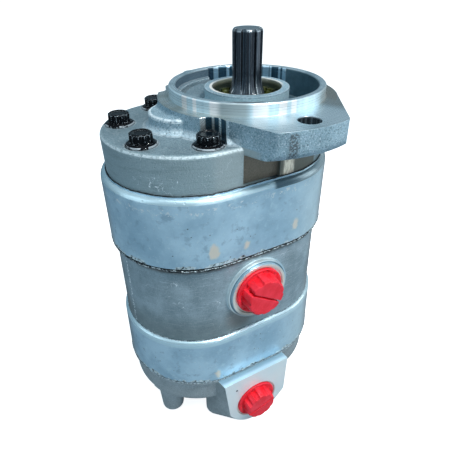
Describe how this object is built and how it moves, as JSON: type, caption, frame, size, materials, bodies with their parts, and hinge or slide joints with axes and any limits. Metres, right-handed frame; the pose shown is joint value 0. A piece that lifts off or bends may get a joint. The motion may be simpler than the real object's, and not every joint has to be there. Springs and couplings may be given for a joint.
{
  "type": "hydraulic gear pump",
  "caption": "Tandem hydraulic gear pump with a splined shaft, two-bolt pilot flange, clamped gear sections and screw-in plugs in its ports.",
  "frame": {"origin": "drive shaft axis at the mounting flange face", "axes": "+Z out along the drive shaft, -Y towards the outlet ports, -X towards the idler gears"},
  "size_m": [0.1304, 0.1266, 0.2356],
  "materials": {
    "cast_front": "fine sand-cast skin, machined flange face and spigot",
    "cast_centre": "cast skin, machined port faces",
    "cast_body": "smooth extruded skin with bright chamfers",
    "cast_rear": "cast skin, machined port face",
    "gear_steel": "dark hardened and ground steel",
    "bearing_bronze": "sintered bronze",
    "plate_alloy": "lapped",
    "seal_rubber": "moulded",
    "zinc_gold": "yellow zinc plate",
    "dowel_steel": "ground",
    "black_screw": "black oxide",
    "red_plastic": "moulded, satin gloss"
  },
  "bodies": {
    "housing": {"front_cover": "cast_front", "centre_section": "cast_centre", "front_body": "cast_body", "rear_body": "cast_body", "rear_cover": "cast_rear", "front_cover_drive_bush": "bearing_bronze", "front_cover_idler_bush": "bearing_bronze", "centre_upper_drive_bush": "bearing_bronze", "centre_upper_idler_bush": "bearing_bronze", "centre_lower_drive_bush": "bearing_bronze", "centre_lower_idler_bush": "bearing_bronze", "rear_cover_drive_bush": "bearing_bronze", "rear_cover_idler_bush": "bearing_bronze", "front_upper_wear_plate": "plate_alloy", "front_lower_wear_plate": "plate_alloy", "rear_upper_wear_plate": "plate_alloy", "rear_lower_wear_plate": "plate_alloy", "front_upper_plate_seal": "seal_rubber", "front_lower_plate_seal": "seal_rubber", "rear_upper_plate_seal": "seal_rubber", "rear_lower_plate_seal": "seal_rubber", "front_body_upper_ring": "seal_rubber", "front_body_lower_ring": "seal_rubber", "rear_body_upper_ring": "seal_rubber", "rear_body_lower_ring": "seal_rubber", "seal_retaining_ring": "zinc_gold", "shaft_seal": "zinc_gold", "dowel_pins": "dowel_steel", "front_clamp_screws": "black_screw", "rear_clamp_screws": "black_screw"},
    "drive_train": {"front_drive_gear": "gear_steel", "shaft_coupling": "gear_steel", "rear_drive_gear": "gear_steel"},
    "front_idler": {"front_idler_gear": "gear_steel"},
    "rear_idler": {"rear_idler_gear": "gear_steel"},
    "front_outlet_plug_body": {"front_outlet_plug": "red_plastic"},
    "rear_outlet_plug_body": {"rear_outlet_plug": "red_plastic"},
    "inlet_plug_body": {"inlet_plug": "red_plastic"}
  },
  "joints": [
    {"name": "drive_spin", "type": "hinge", "parent": "housing", "child": "drive_train", "pos_m": [0, 0, 0], "axis": [0, 0, 1], "continuous": true},
    {"name": "front_idler_spin", "type": "hinge", "parent": "housing", "child": "front_idler", "pos_m": [-0.0381, 0, -0.05], "axis": [0, 0, 1], "continuous": true},
    {"name": "rear_idler_spin", "type": "hinge", "parent": "housing", "child": "rear_idler", "pos_m": [-0.0381, 0, -0.14], "axis": [0, 0, 1], "continuous": true},
    {"name": "front_outlet_plug_pull", "type": "slide", "parent": "housing", "child": "front_outlet_plug_body", "axis": [0, -1, 0], "range_m": [0, 0.02]},
    {"name": "rear_outlet_plug_pull", "type": "slide", "parent": "housing", "child": "rear_outlet_plug_body", "axis": [0, -1, 0], "range_m": [0, 0.02]},
    {"name": "inlet_plug_pull", "type": "slide", "parent": "housing", "child": "inlet_plug_body", "axis": [0, 1, 0], "range_m": [0, 0.02]}
  ],
  "couplings": [
    {"joint": "front_idler_spin", "follows": "drive_spin", "ratio": -1},
    {"joint": "rear_idler_spin", "follows": "drive_spin", "ratio": -1}
  ]
}
